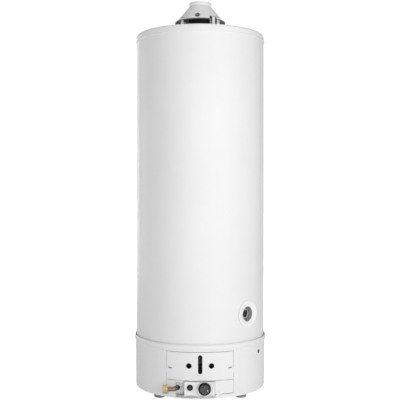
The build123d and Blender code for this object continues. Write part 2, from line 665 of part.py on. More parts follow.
def gas_valve_cover():
    """The white moulded cover that the knob and the igniter stand on."""
    shell = block(*COVER_X, COVER_FRONT_Y, PLATE_Y, *COVER_Z)
    shell = fillet(shell.edges().filter_by(Axis.Y), 3)
    shell = fillet(shell.faces().sort_by(Axis.Y)[0].edges(), 1.5)
    wall = 2.0
    inner_x = (COVER_X[0] + wall, COVER_X[1] - wall)
    inner_z = (COVER_Z[0] + wall, COVER_Z[1] - wall)
    shell -= block(*inner_x, COVER_FRONT_Y + wall, PLATE_Y + 1, *inner_z)
    shell -= rod_y(15.9, COVER_FRONT_Y - 1, COVER_FRONT_Y + 3, KNOB_X, KNOB_Z)
    return shell - rod_y(9.2, COVER_FRONT_Y - 1, COVER_FRONT_Y + 3, PIEZO_X, PIEZO_Z)


def pilot_plunger():
    """The pin behind the knob's shaft. Pushing the knob moves it, and it opens the pilot gas."""
    return rod_y(3.0, -204.7, -192, KNOB_X, KNOB_Z) + rod_y(3.6, -204.7, -203, KNOB_X, KNOB_Z)


def coil(r, wire, pitch, height):
    """A spring standing on the origin."""
    route = Helix(pitch, height, r)
    return sweep(Plane(route @ 0, z_dir=route % 0) * Circle(wire), path=route)


def knob_spring():
    """The return spring, at its pressed length, on the knob's side."""
    return Pos(KNOB_X, HUB_BACK_Y + 1.2, KNOB_Z) * Rot(-90, 0, 0) * coil(6.6, 0.5, 1.3, 3.3)


def spindle_flat():
    """The flat on the shaft, which turns with the knob."""
    return block(KNOB_X - 5, KNOB_X + 5, SPINDLE_FRONT_Y - 1, -252, KNOB_Z + 2.8, KNOB_Z + 5)


def control_spindle():
    return rod_y(4.0, SPINDLE_FRONT_Y, -205.0, KNOB_X, KNOB_Z) - spindle_flat()


def control_knob():
    front, back = KNOB_Y
    disc = rod_y(KNOB_R, front, back, KNOB_X, KNOB_Z)
    disc = fillet(disc.edges().filter_by(GeomType.CIRCLE).group_by(Axis.Y)[0], 2)
    disc -= rod_y(16.5, front - 1, front + 1, KNOB_X, KNOB_Z)
    groove_ring = KNOB_R + 0.7
    for angle in range(0, 360, 15):
        x, z = groove_ring * cos(radians(angle)), groove_ring * sin(radians(angle))
        disc -= rod_y(1.6, front - 1, back + 1, KNOB_X + x, KNOB_Z + z)
    hub = rod_y(15.5, back, HUB_BACK_Y, KNOB_X, KNOB_Z) - rod_y(11, -258.5, HUB_BACK_Y + 1, KNOB_X, KNOB_Z)
    hub += rod_y(7.0, -259, HUB_BACK_Y, KNOB_X, KNOB_Z)
    bore = rod_y(4.0, SPINDLE_FRONT_Y, HUB_BACK_Y + 1, KNOB_X, KNOB_Z) - spindle_flat()
    return disc + hub - bore


def piezo_body():
    body = rod_y(9.0, -257, -198, PIEZO_X, PIEZO_Z)
    body -= rod_y(8.0, -258, -236, PIEZO_X, PIEZO_Z) + rod_y(5.3, -237, -225, PIEZO_X, PIEZO_Z)
    return body + rod(2.5, PIEZO_Z + 8, 75, PIEZO_X, PIEZO_TERMINAL_Y)


def piezo_bezel():
    nut = Pos(PIEZO_X, -255, PIEZO_Z) * Rot(90, 0, 0) * extrude(RegularPolygon(11.3, 8, rotation=22.5), 4.4)
    nut -= rod_y(9.05, -257.1, -254, PIEZO_X, PIEZO_Z)
    return nut - rod_y(8.05, -260, -254, PIEZO_X, PIEZO_Z)


def piezo_button():
    head = rod_y(7.6, -263.4, -250, PIEZO_X, PIEZO_Z)
    head = fillet(head.edges().filter_by(GeomType.CIRCLE).group_by(Axis.Y)[0], 1.2)
    return head + rod_y(4.9, -251, -236, PIEZO_X, PIEZO_Z)


def piezo_spring():
    """The return spring, at its pressed length, on the button's side."""
    return Pos(PIEZO_X, -249.4, PIEZO_Z) * Rot(-90, 0, 0) * coil(6.4, 0.5, 1.7, 8.0)


def gas_inlet_pipe():
    """The copper pipe from the nut, round through the grommet, to the valve."""
    line = pipe(PIPE_R, [(PIPE_END_X, PIPE_Y, PIPE_Z), (PIPE_X, PIPE_Y, PIPE_Z), (PIPE_X, -186, PIPE_Z),
                         (-24, -186, PIPE_Z)], [11, 18])
    line += rod_x(9.0, PIPE_END_X, PIPE_END_X + 1.8, PIPE_Y, PIPE_Z)
    return line - rod_x(PIPE_R - 1, PIPE_END_X - 1, PIPE_END_X + 25, PIPE_Y, PIPE_Z)


def gas_inlet_nut():
    nut = Pos(INLET_X, PIPE_Y, PIPE_Z) * Rot(0, 90, 0) * extrude(RegularPolygon(16.15, 6), NUT_LENGTH)
    nut &= rod_x(15.6, INLET_X, INLET_X + NUT_LENGTH, PIPE_Y, PIPE_Z)
    nut -= rod_x(INLET_BORE_R, INLET_X - 1, PIPE_END_X, PIPE_Y, PIPE_Z)
    nut -= rod_x(9.5, PIPE_END_X - 0.2, PIPE_END_X + 2.1, PIPE_Y, PIPE_Z)
    return nut - rod_x(PIPE_R + 0.05, PIPE_END_X, INLET_X + NUT_LENGTH + 1, PIPE_Y, PIPE_Z)


def pipe_grommet():
    """The rubber edging of the notch in the bracket, with a web behind that closes round the pipe."""
    back = PLATE_Y + PLATE_T
    outer_r, inner_r = GROMMET_R
    edging = pipe_notch(outer_r, PLATE_Y, back + 0.5) - pipe_notch(inner_r, PLATE_Y - 1, back + 3)
    seal = edging + pipe_notch(outer_r + 2, back, back + 2)
    seal &= block(PLATE_X[0], 0, -FAR, 0, 0, FAR)
    return seal - rod_y(PIPE_R + 0.05, PLATE_Y - 1, back + 3, PIPE_X, PIPE_Z)


# ---- draught hood -------------------------------------------------------------------------
def cone_r(z):
    """Outside radius of the hood at a height."""
    return HOOD_RIM_R - HOOD_SLOPE * (z - HOOD_RIM_Z)


def on_cone(z, shape):
    """Put a shape built about the Z axis on the hood's front, standing out from its surface."""
    tilt = degrees(atan2(1, HOOD_SLOPE))
    return Pos(0, -cone_r(z), z) * Rot(tilt, 0, 0) * shape


def hood_stay(outer_r, width, top_z):
    """A leg: a foot on the lid, an upright, and a tab that lies behind the cone."""
    gap, thick = 0.5, 1.5
    inner_r = HOOD_RIM_R - HOOD_T - gap
    bend_z = HOOD_RIM_Z + (inner_r - outer_r) / HOOD_SLOPE
    top_r = inner_r - HOOD_SLOPE * (top_z - HOOD_RIM_Z)
    return strap(
        width,
        (HOOD_FOOT_R, LID_TOP_Z), (HOOD_FOOT_R, LID_TOP_Z + thick),
        (outer_r, LID_TOP_Z + thick), (outer_r, bend_z),
        (top_r, top_z), (top_r - 2, top_z), (outer_r - thick, bend_z - 0.6), (outer_r - thick, LID_TOP_Z),
    )


def foot_hole():
    return rod(2.0, LID_TOP_Z - 1, LID_TOP_Z + 3, 0, -HOOD_SCREW_R)


def rivet_hole(r=2.0):
    return on_cone(RIVET_Z, Pos(0, 0, -8) * Cylinder(r, 12, align=UP))


def hood_cone():
    cone = turned_polygon(
        (HOOD_RIM_R, HOOD_RIM_Z), (HOOD_NECK_R, HOOD_NECK_Z), (HOOD_NECK_R - HOOD_T, HOOD_NECK_Z),
        (HOOD_RIM_R - HOOD_T, HOOD_RIM_Z),
    )
    cone += Pos(0, 0, HOOD_RIM_Z) * Torus(HOOD_RIM_R + 1.2, RIM_ROLL_R)
    cone -= block(*HOOD_NOTCH_X, -120, -40, HOOD_RIM_Z - 5, HOOD_NOTCH_TOP_Z)
    for angle in LEG_ANGLES:
        cone -= at(angle, rivet_hole())
    return cone - at(SENSOR_ANGLE, on_cone(SENSOR_Z, Pos(0, 0, -10) * Cylinder(6.6, 14, align=UP)))


def hood_legs():
    leg = hood_stay(LEG_R, 14, 1438) - foot_hole() - rivet_hole()
    return Compound([at(angle, leg) for angle in LEG_ANGLES])


def sensor_strap():
    """The strap behind the notch in the rim, for the spill sensor's lead, with a thin prong beside it."""
    prong_top = HOOD_RIM_Z + 2.5
    fork = Pos(-5, 0, 0) * hood_stay(STRAP_R, 23, 1442)
    fork -= block(-14.9, -6.5, -120, -40, LID_TOP_Z + 6, prong_top + 1)
    fork -= block(-17, -6.5, -120, -40, prong_top, 1450)
    return at(STRAP_ANGLE, fork - foot_hole())


def hood_rivets():
    shank = Pos(0, 0, -4) * Cylinder(1.9, 4.2, align=UP)
    head = Cylinder(3.6, 1.6, align=UP)
    head = fillet(head.edges().group_by(Axis.Z)[-1], 1.2)
    tail = Pos(0, 0, -5.0) * Cylinder(3.0, 1.2, align=UP)
    rivet = on_cone(RIVET_Z, shank + Pos(0, 0, 0.05) * head + tail)
    return Compound([at(angle, rivet) for angle in LEG_ANGLES])


def spill_sensor():
    """The thermostat that shuts the gas off if burnt gas spills out under the hood."""
    face = Pos(0, 0, 0.6) * Cylinder(9, 4.4, align=UP)
    face = fillet(face.edges().group_by(Axis.Z)[-1], 1.5)
    back = Pos(0, 0, -9) * Cylinder(6.4, 10, align=UP)
    return at(SENSOR_ANGLE, on_cone(SENSOR_Z, face + back))


def flue_spigot():
    """The rolled collar that the flue pipe pushes into."""
    wall_outer = SPIGOT_BORE_R + 0.9
    return turned(
        Line((SPIGOT_BORE_R, 1476), (wall_outer, 1476)),
        Line((wall_outer, 1476), (wall_outer, 1485.8)),
        ThreePointArc((wall_outer, 1485.8), (43.8, 1492), (wall_outer + 0.3, SPIGOT_TOP_Z)),
        Line((wall_outer + 0.3, SPIGOT_TOP_Z), (SPIGOT_BORE_R, SPIGOT_TOP_Z)),
        Line((SPIGOT_BORE_R, SPIGOT_TOP_Z), (SPIGOT_BORE_R, 1476)),
    )


def casing_screws():
    """One size of self-tapping screw: lower panels, burner chamber door and hood feet."""
    screws = [at(side_angle(x), pan_screw(wall_r(PANEL_SCREW_Z), PANEL_SCREW_Z)) for x in PANEL_SCREW_X]
    door_r = TANK_R + 0.2 + 1.5
    screws += [at(side * DOOR_SCREW_ANGLE, pan_screw(door_r, DOOR_SCREW_Z)) for side in (-1, 1)]
    upright = Pos(0, -HOOD_SCREW_R, LID_TOP_Z + 1.5) * Rot(-90, 0, 0) * pan_screw(0, 0)
    screws += [at(angle, upright) for angle in HOOD_FEET]
    return Compound(screws)


# ---- write every piece --------------------------------------------------------------------
pieces = {
    "base_ring": base_ring(),
    "base_pan": base_pan(),
    "feet": feet(),
    "tank_legs": tank_legs(),
    "access_cover": access_cover(),
    "cover_screws": cover_screws(),
    "lower_panel_left": lower_panel_left(),
    "lower_panel_right": lower_panel_right(),
    "casing_screws": casing_screws(),
    "jacket": jacket(),
    "lid": lid(),
    "insulation": insulation(),
    "tank_shell": tank_shell(),
    "tank_top_head": tank_top_head(),
    "tank_bottom_head": tank_bottom_head(),
    "flue_tube": flue_tube(),
    "flue_baffle": flue_baffle(),
    "hot_outlet_nipple": nipple(-1),
    "cold_inlet_nipple": nipple(1),
    "hot_ring": nipple_ring(-1),
    "cold_ring": nipple_ring(1),
    "dip_tube": dip_tube(),
    "anode_plug": anode_plug(),
    "anode_rod": anode_rod(),
    "thermowell": thermowell(),
    "thermostat_bulb": thermostat_bulb(),
    "side_port_socket": side_port_socket(),
    "side_port_escutcheon": side_port_escutcheon(),
    "chamber_floor": chamber_floor(),
    "chamber_door": chamber_door(),
    "sight_glass": sight_glass(),
    "burner": burner(),
    "burner_legs": burner_legs(),
    "injector": injector(),
    "burner_gas_pipe": burner_gas_pipe(),
    "pilot_burner": pilot_burner(),
    "pilot_tube": pilot_tube(),
    "thermocouple": thermocouple(),
    "spark_electrode": spark_electrode(),
    "ignition_lead": ignition_lead(),
    "valve_bracket": valve_bracket(),
    "gas_valve_body": gas_valve_body(),
    "gas_valve_cover": gas_valve_cover(),
    "pilot_plunger": pilot_plunger(),
    "knob_spring": knob_spring(),
    "control_spindle": control_spindle(),
    "control_knob": control_knob(),
    "piezo_body": piezo_body(),
    "piezo_bezel": piezo_bezel(),
    "piezo_button": piezo_button(),
    "piezo_spring": piezo_spring(),
    "gas_inlet_pipe": gas_inlet_pipe(),
    "gas_inlet_nut": gas_inlet_nut(),
    "pipe_grommet": pipe_grommet(),
    "hood_cone": hood_cone(),
    "hood_legs": hood_legs(),
    "hood_rivets": hood_rivets(),
    "sensor_strap": sensor_strap(),
    "spill_sensor": spill_sensor(),
    "flue_spigot": flue_spigot(),
}

os.makedirs("parts", exist_ok=True)
for name, shape in pieces.items():
    export_step(shape, f"parts/{name}.step")
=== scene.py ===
"""The looks of a tank water heater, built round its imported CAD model. Metres, +Z up, front is -Y."""

import json
from math import atan2, cos, degrees, pi, radians, sin, sqrt, tan, tau

import bmesh
import bpy
from mathutils import Matrix, Vector


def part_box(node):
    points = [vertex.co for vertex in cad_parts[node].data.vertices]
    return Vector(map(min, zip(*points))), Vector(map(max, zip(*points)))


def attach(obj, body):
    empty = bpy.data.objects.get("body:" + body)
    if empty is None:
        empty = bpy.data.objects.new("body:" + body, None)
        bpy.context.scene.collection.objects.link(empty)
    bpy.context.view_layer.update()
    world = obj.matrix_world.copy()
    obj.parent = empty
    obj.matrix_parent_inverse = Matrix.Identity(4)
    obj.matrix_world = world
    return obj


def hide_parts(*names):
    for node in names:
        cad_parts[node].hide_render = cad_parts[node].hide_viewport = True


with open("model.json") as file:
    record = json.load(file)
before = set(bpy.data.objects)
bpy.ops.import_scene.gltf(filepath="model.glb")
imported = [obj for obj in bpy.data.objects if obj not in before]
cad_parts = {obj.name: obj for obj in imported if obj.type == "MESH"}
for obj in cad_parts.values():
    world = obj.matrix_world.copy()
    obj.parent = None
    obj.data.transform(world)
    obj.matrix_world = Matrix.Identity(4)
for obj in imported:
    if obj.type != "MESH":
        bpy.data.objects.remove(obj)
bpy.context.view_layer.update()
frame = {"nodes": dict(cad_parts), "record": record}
nodes = frame["nodes"]
scene = bpy.context.scene

MM = 0.001


def grey(value):
    return (value, value, value)


# ---- camera, light and floor --------------------------------------------------------------
EYE = (0.0, -2.920, 0.773)
LENS = 67.0
SHIFT = (-0.0004, -0.0283)


def link(name, data):
    """An object for this data, in the scene."""
    obj = bpy.data.objects.new(name, data)
    scene.collection.objects.link(obj)
    return obj


def make_camera():
    data = bpy.data.cameras.new("camera")
    data.lens = LENS
    data.sensor_width = 36.0
    data.shift_x, data.shift_y = SHIFT
    camera = link("camera", data)
    camera.location = EYE
    camera.rotation_euler = (pi / 2, 0, 0)
    scene.camera = camera


def softbox(name, place, target, width, height, watts):
    """A large soft area light that faces a point."""
    data = bpy.data.lights.new(name, "AREA")
    data.shape = "RECTANGLE"
    data.size, data.size_y = width, height
    data.energy = watts
    lamp = link(name, data)
    lamp.location = place
    lamp.rotation_euler = (Vector(target) - Vector(place)).to_track_quat("-Z", "Y").to_euler()


def node(tree, kind, **values):
    """A shader node. Values named by an input set that input; others set a property of the node."""
    made = tree.nodes.new("ShaderNode" + kind)
    for key, value in values.items():
        if hasattr(made, key):
            setattr(made, key, value)
        else:
            made.inputs[key.replace("_", " ")].default_value = value
    return made


def make_world(seen, cast):
    """White behind the object, with a weaker light from all round."""
    world = bpy.data.worlds.new("studio")
    world.use_nodes = True
    scene.world = world
    tree = world.node_tree
    background = tree.nodes["Background"]
    background.inputs["Color"].default_value = (1, 1, 1, 1)
    path = node(tree, "LightPath")
    strength = node(tree, "MapRange", To_Min=cast, To_Max=seen)
    tree.links.new(path.outputs["Is Camera Ray"], strength.inputs["Value"])
    tree.links.new(strength.outputs["Result"], background.inputs["Strength"])


FLOOR_GLOW = 0.9
FLOOR_HALF = 20
FLOOR_DROP = 0.0004


def make_floor():
    mesh = bpy.data.meshes.new("studio_floor")
    corners = [(-FLOOR_HALF, -FLOOR_HALF, 0), (FLOOR_HALF, -FLOOR_HALF, 0)]
    corners += [(FLOOR_HALF, FLOOR_HALF, 0), (-FLOOR_HALF, FLOOR_HALF, 0)]
    mesh.from_pydata(corners, [], [(0, 1, 2, 3)])
    floor = link("studio_floor", mesh)
    floor.location.z = -FLOOR_DROP
    paper = bpy.data.materials.new("studio_paper")
    paper.use_nodes = True
    tree = paper.node_tree
    shader = tree.nodes["Principled BSDF"]
    shader.inputs["Base Color"].default_value = (0.94, 0.94, 0.94, 1)
    shader.inputs["Roughness"].default_value = 0.9
    shader.inputs["Specular IOR Level"].default_value = 0.1
    shader.inputs["Emission Color"].default_value = (1, 1, 1, 1)
    path = node(tree, "LightPath")
    glow = node(tree, "MapRange", To_Min=0.0, To_Max=FLOOR_GLOW)
    tree.links.new(path.outputs["Is Camera Ray"], glow.inputs["Value"])
    tree.links.new(glow.outputs["Result"], shader.inputs["Emission Strength"])
    mesh.materials.append(paper)


BANK_AWAY = 3.6
BANK_Z = 0.72
BANK_AIM_Z = 0.8
BANK_SIZE = (0.9, 3.0)
OVERHEAD_Z = 4.2
OVERHEAD_SIZE = 2.4
OVERHEAD_WATTS = 24
# watts of each tall softbox, by its angle round the object from the front towards +X
BANK = {
    -150: 24, -120: 24, -90: 4, -60: 0.6, -40: 0.6, -20: 16.2, -5: 15.2,
    10: 18.8, 20: 12.7, 30: 17.3, 45: 20.5, 60: 7.5, 90: 4.5, 120: 4.5, 150: 5, 180: 28,
}


def light_bank():
    """Tall softboxes in a ring, brightest in front and to the right, and one overhead."""
    for angle, watts in BANK.items():
        turn = radians(angle)
        place = (BANK_AWAY * sin(turn), -BANK_AWAY * cos(turn), BANK_Z)
        softbox(f"bank_{angle}", place, (0, 0, BANK_AIM_Z), *BANK_SIZE, watts)
    softbox("overhead", (0, 0, OVERHEAD_Z), (0, 0, 1.0), OVERHEAD_SIZE, OVERHEAD_SIZE, OVERHEAD_WATTS)


make_camera()
make_world(seen=1.05, cast=0.2465)
make_floor()
light_bank()
scene.view_settings.view_transform = "Standard"

# ---- materials ----------------------------------------------------------------------------


def surface(
    name, dark, light, patch, rough, grain, height, metallic=0.0, stretch=(1, 1, 1), level=0.5,
    pattern="noise",
):
    """A procedural finish: colour that drifts over patches, roughness that varies, and a fine relief.

    dark and light are the two ends of the colour; patch and grain are sizes in metres; rough is a range of
    roughness; height is the relief's depth in metres; stretch squeezes the pattern along X, Y and Z.
    """
    material = bpy.data.materials.new(name)
    material.use_nodes = True
    tree = material.node_tree
    wire = tree.links.new
    shader = tree.nodes["Principled BSDF"]
    shader.inputs["Metallic"].default_value = metallic
    shader.inputs["Specular IOR Level"].default_value = level
    place = node(tree, "TexCoord")
    squeeze = node(tree, "Mapping", Scale=stretch)
    wire(place.outputs["Object"], squeeze.inputs["Vector"])

    drift = node(tree, "TexNoise", Scale=1 / patch, Detail=4.0, Roughness=0.55)
    wire(squeeze.outputs["Vector"], drift.inputs["Vector"])
    ramp = node(tree, "ValToRGB")
    ramp.color_ramp.elements[0].position = 0.34
    ramp.color_ramp.elements[1].position = 0.66
    ramp.color_ramp.elements[0].color = (*dark, 1)
    ramp.color_ramp.elements[1].color = (*light, 1)
    wire(drift.outputs["Fac"], ramp.inputs["Fac"])
    wire(ramp.outputs["Color"], shader.inputs["Base Color"])

    if pattern == "spangle":
        relief = node(tree, "TexVoronoi", Scale=1 / grain)
        relief_out = relief.outputs["Color"]
    elif pattern == "cells":
        relief = node(tree, "TexVoronoi", Scale=1 / grain)
        relief_out = relief.outputs["Distance"]
    else:
        relief = node(tree, "TexNoise", Scale=1 / grain, Detail=3.0, Roughness=0.5)
        relief_out = relief.outputs["Fac"]
    wire(squeeze.outputs["Vector"], relief.inputs["Vector"])
    gloss = node(tree, "MapRange", From_Min=0.3, From_Max=0.7, To_Min=rough[0], To_Max=rough[1])
    wire(relief_out, gloss.inputs["Value"])
    wire(gloss.outputs["Result"], shader.inputs["Roughness"])
    bump = node(tree, "Bump", Strength=1.0, Distance=height)
    wire(relief_out, bump.inputs["Height"])
    wire(bump.outputs["Normal"], shader.inputs["Normal"])
    return material


finishes = {
    "painted_white": surface(
        "white_enamel", grey(0.875), grey(0.905), 0.30, (0.36, 0.42), 0.0016, 0.000012, level=0.35
    ),
    "white_moulding": surface(
        "white_moulding", grey(0.90), grey(0.93), 0.06, (0.34, 0.44), 0.0006, 0.00003
    ),
    "black_moulding": surface(
        "black_moulding", grey(0.008), grey(0.03), 0.004, (0.5, 0.6), 0.0005, 0.00004, level=0.2
    ),
    "grey_moulding": surface(
        "grey_moulding", grey(0.022), grey(0.115), 0.0065, (0.42, 0.55), 0.0005, 0.00006
    ),
    "foot_rubber": surface("foot_rubber", grey(0.27), grey(0.36), 0.012, (0.6, 0.75), 0.0008, 0.00008),
    "black_rubber": surface("black_rubber", grey(0.012), grey(0.02), 0.008, (0.55, 0.7), 0.0006, 0.00006),
    "white_rubber": surface("white_trim", grey(0.93), grey(0.96), 0.04, (0.34, 0.44), 0.0006, 0.00003),
    "galvanised": surface(
        "galvanised", grey(0.50), grey(0.70), 0.012, (0.34, 0.5), 0.009, 0.00002, metallic=1.0,
        pattern="spangle",
    ),
    "screw_steel": surface(
        "screw_steel", grey(0.5), grey(0.62), 0.004, (0.25, 0.4), 0.001, 0.00002, metallic=1.0
    ),
    # the tank's own dark blue enamel, darkened further to near black as painted shade seen through the
    # casing's holes
    "tank_steel": surface(
        "tank_enamel_and_painted_shade", (0.007, 0.010, 0.016), (0.014, 0.019, 0.028), 0.03, (0.4, 0.5), 0.002, 0.00004,
        level=0.3,
    ),
    # black enamel of the flue; where it is used on the chamber door it is painted shade behind the cover's
    # slot and holes
    "flue_steel": surface(
        "flue_enamel_and_painted_shade", grey(0.006), grey(0.014), 0.01, (0.5, 0.7), 0.002, 0.00008, level=0.3
    ),
    "stainless": surface(
        "stainless", (0.5, 0.48, 0.45), (0.6, 0.59, 0.57), 0.02, (0.25, 0.4), 0.0012, 0.00001, metallic=1.0,
        stretch=(1, 1, 0.05),
    ),
    "nipple_steel": surface(
        "nipple_steel", grey(0.42), grey(0.55), 0.004, (0.25, 0.42), 0.0008, 0.00002, metallic=1.0
    ),
    "socket_steel": surface(
        "socket_steel", grey(0.42), grey(0.60), 0.004, (0.4, 0.5), 0.0008, 0.00002, metallic=0.35
    ),
    "foam": surface(
        "foam", (0.70, 0.60, 0.30), (0.80, 0.72, 0.42), 0.02, (0.8, 0.95), 0.0015, 0.0004, pattern="cells"
    ),
    "red_plastic": surface(
        "red_plastic", (0.42, 0.012, 0.01), (0.52, 0.02, 0.016), 0.01, (0.35, 0.45), 0.0006, 0.00003
    ),
    "blue_plastic": surface(
        "blue_plastic", (0.01, 0.05, 0.34), (0.016, 0.07, 0.45), 0.01, (0.35, 0.45), 0.0006, 0.00003
    ),
    "dip_plastic": surface("dip_plastic", grey(0.6), grey(0.7), 0.02, (0.4, 0.5), 0.0008, 0.00003),
    "anode_metal": surface(
        "anode_metal", grey(0.3), grey(0.42), 0.01, (0.45, 0.6), 0.0015, 0.0001, metallic=1.0
    ),
    "brass": surface(
        "brass", (0.55, 0.46, 0.20), (0.72, 0.64, 0.36), 0.006, (0.26, 0.4), 0.0008, 0.00002, metallic=1.0
    ),
    "copper": surface(
        "copper", (0.26, 0.16, 0.115), (0.38, 0.26, 0.20), 0.008, (0.3, 0.45), 0.001, 0.00002, metallic=1.0
    ),
    "aluminium_tube": surface(
        "aluminium_tube", grey(0.55), grey(0.66), 0.01, (0.3, 0.45), 0.0008, 0.00001, metallic=1.0
    ),
    "valve_casting": surface(
        "valve_casting", grey(0.34), grey(0.44), 0.006, (0.45, 0.6), 0.0008, 0.00012, metallic=1.0
    ),
    "ceramic": surface(
        "ceramic", (0.78, 0.74, 0.66), (0.84, 0.81, 0.74), 0.006, (0.12, 0.2), 0.001, 0.00002
    ),
    "lead_insulation": surface(
        "lead_insulation", (0.16, 0.01, 0.01), (0.22, 0.02, 0.016), 0.01, (0.5, 0.6), 0.0006, 0.00003
    ),
    "sensor_body": surface(
        "sensor_phenolic", (0.06, 0.065, 0.05), (0.13, 0.135, 0.11), 0.004, (0.35, 0.5), 0.0006, 0.00004
    ),
    "spring_steel": surface(
        "spring_steel", grey(0.3), grey(0.42), 0.003, (0.3, 0.4), 0.0006, 0.00001, metallic=1.0
    ),
}


# the sight glass is tinted near black: painted shade, so it reads dark behind the cover's slot
def shade_tinted_glass():
    material = surface(
        "sight_glass", (0.12, 0.11, 0.10), (0.17, 0.16, 0.14), 0.01, (0.05, 0.12), 0.003, 0.00001, level=0.2
    )
    shader = material.node_tree.nodes["Principled BSDF"]
    shader.inputs["Transmission Weight"].default_value = 0.95
    shader.inputs["IOR"].default_value = 1.47
    return material


finishes["sight_glass"] = shade_tinted_glass()


def hood_enamel_painted_shade():
    """White enamel outside, and painted shade inside: faces that point down get dark grey patches, told
    apart by which way the sheet faces.
    """
    material = surface(
        "hood_enamel_painted_shade", grey(0.78), grey(0.82), 0.10, (0.42, 0.5), 0.0016, 0.000012, level=0.3
    )
    tree = material.node_tree
    shader = tree.nodes["Principled BSDF"]
    outside = shader.inputs["Base Color"].links[0].from_socket
    place = node(tree, "TexCoord")
    split = node(tree, "SeparateXYZ")
    tree.links.new(place.outputs["Normal"], split.inputs["Vector"])
    # faces that point down are the inside of the hood, which gets painted shade
    faces_down = node(tree, "MapRange", From_Min=-0.25, From_Max=-0.05, To_Min=1.0, To_Max=0.0)
    tree.links.new(split.outputs["Z"], faces_down.inputs["Value"])
    # painted shade for the inside: patches of dark grey
    shade_patches = node(tree, "TexNoise", Scale=60.0, Detail=4.0)
    tree.links.new(place.outputs["Object"], shade_patches.inputs["Vector"])
    shade = node(tree, "ValToRGB")
    shade.color_ramp.elements[0].color = (0.08, 0.08, 0.08, 1)
    shade.color_ramp.elements[1].color = (0.26, 0.26, 0.26, 1)
    tree.links.new(shade_patches.outputs["Fac"], shade.inputs["Fac"])
    mix = tree.nodes.new("ShaderNodeMix")
    mix.data_type = "RGBA"
    tree.links.new(faces_down.outputs["Result"], mix.inputs["Factor"])
    # a colour Mix node's sockets A, B and Result are told apart by number
    tree.links.new(outside, mix.inputs[6])
    tree.links.new(shade.outputs["Color"], mix.inputs[7])
    tree.links.new(mix.outputs[2], shader.inputs["Base Color"])
    return material


# finishes of single pieces, for which the record has no slot of their own
finishes["knob_moulding"] = surface(
    "knob_moulding", grey(0.006), grey(0.035), 0.004, (0.5, 0.65), 0.0005, 0.00006, level=0.2
)
# near-black steel: painted shade inside the side port's threaded bore
finishes["bore_steel_painted_shade"] = surface(
    "bore_steel_painted_shade", grey(0.03), grey(0.14), 0.006, (0.4, 0.55), 0.0008, 0.00002, metallic=0.35
)
finishes["dull_print"] = surface("dull_print", grey(0.16), grey(0.24), 0.003, (0.5, 0.6), 0.0004, 0.00001)

# nodes whose look differs from the rest of their slot
own_finish = {"hood_cone": hood_enamel_painted_shade()}

for part in frame["record"]["subparts"]:
    for held in nodes[part["node"]].material_slots:
        held.material = own_finish.get(part["node"], finishes[part["material_slot"]])

# ---- mesh tools ---------------------------------------------------------------------------
# The shapes are drawn in millimetres and scaled as they become pieces.
ROUND_STEPS = 4
THREAD_STEPS = 8
THREAD_CREASE = 24

# knob and igniter
RIB_DEPTH = 1.3
KNOB_RIBS = 36
KNOB_RIB_STEPS = 10
KNOB_HUB_LENGTH = 10.3
KNOB_DOT = (10.8, -3.7)
KNOB_TICKS = 9
KNOB_TICKS_FROM = 150
KNOB_TICKS_SPREAD = 180
IGNITER_HEAD_LENGTH = 13.4

# pipe ends: the side port's back and rim are distances from the tank's axis
G_THREAD_PITCH = 1.814
NIPPLE_THREAD_LENGTH = 26
ANODE_HEAD_HEIGHT = 12
PORT_BACK = 208.2
PORT_RIM = 246.6

# feet: the pegs stand on a smaller ring than the feet
FOOT_ANGLES = (45, 135, 225, 315)
FOOT_RING_R = 213
FOOT_PEG_RING_R = 202
FOOT_TOP = 17.98


def rounded(*corners):
    """An open outline of (radius, height, rounding) corners, with each corner rounded off."""
    points = []
    for i, (r, h, radius) in enumerate(corners):
        corner = Vector((r, h))
        if radius == 0:
            points.append(corner)
            continue
        before = Vector(corners[i - 1][:2]) - corner
        after = Vector(corners[(i + 1) % len(corners)][:2]) - corner
        reach = radius / max(tan(before.angle(after) / 2), 0.1)
        start = corner + before.normalized() * reach
        end = corner + after.normalized() * reach
        for k in range(ROUND_STEPS + 1):
            t = k / ROUND_STEPS
            points.append(start * (1 - t) ** 2 + corner * 2 * t * (1 - t) + end * t ** 2)
    return [tuple(point) for point in points]


def lathe(outline, place, steps=96, mesh=None):
    """Turn a closed outline of (radius, height) about Z and put it in place.

    A radius may be a function of the turn's angle, which gives ribs, flats and threads.
    """
    mesh = mesh or bmesh.new()
    rings = []
    for r, h in outline:
        if r == 0:
            rings.append([mesh.verts.new(place @ Vector((0, 0, h)))])
            continue
        ring = []
        for i in range(steps):
            turn = tau * i / steps
            reach = r(turn) if callable(r) else r
            ring.append(mesh.verts.new(place @ Vector((reach * cos(turn), reach * sin(turn), h))))
        rings.append(ring)
    for low, high in zip(rings, rings[1:] + rings[:1]):
        for i in range(steps):
            j = (i + 1) % steps
            corners = [low[i % len(low)], low[j % len(low)], high[j % len(high)], high[i % len(high)]]
            corners = list(dict.fromkeys(corners))
            if len(corners) > 2:
                mesh.faces.new(corners)
    return mesh


def block(mesh, half, place, inset=0.12):
    """A bar with its long edges eased, by half its size each way."""
    loops = []
    for h, shrink in ((-half[2], 0), (half[2] - inset, 0), (half[2], inset)):
        x, y = half[0] - shrink, half[1] - shrink
        corners = ((-x, -y), (x, -y), (x, y), (-x, y))
        loops.append([mesh.verts.new(place @ Vector((across, along, h))) for across, along in corners])
    mesh.faces.new(loops[0][::-1])
    mesh.faces.new(loops[-1])
    for low, high in zip(loops, loops[1:]):
        for i in range(4):
            mesh.faces.new([low[i], low[i - 3], high[i - 3], high[i]])


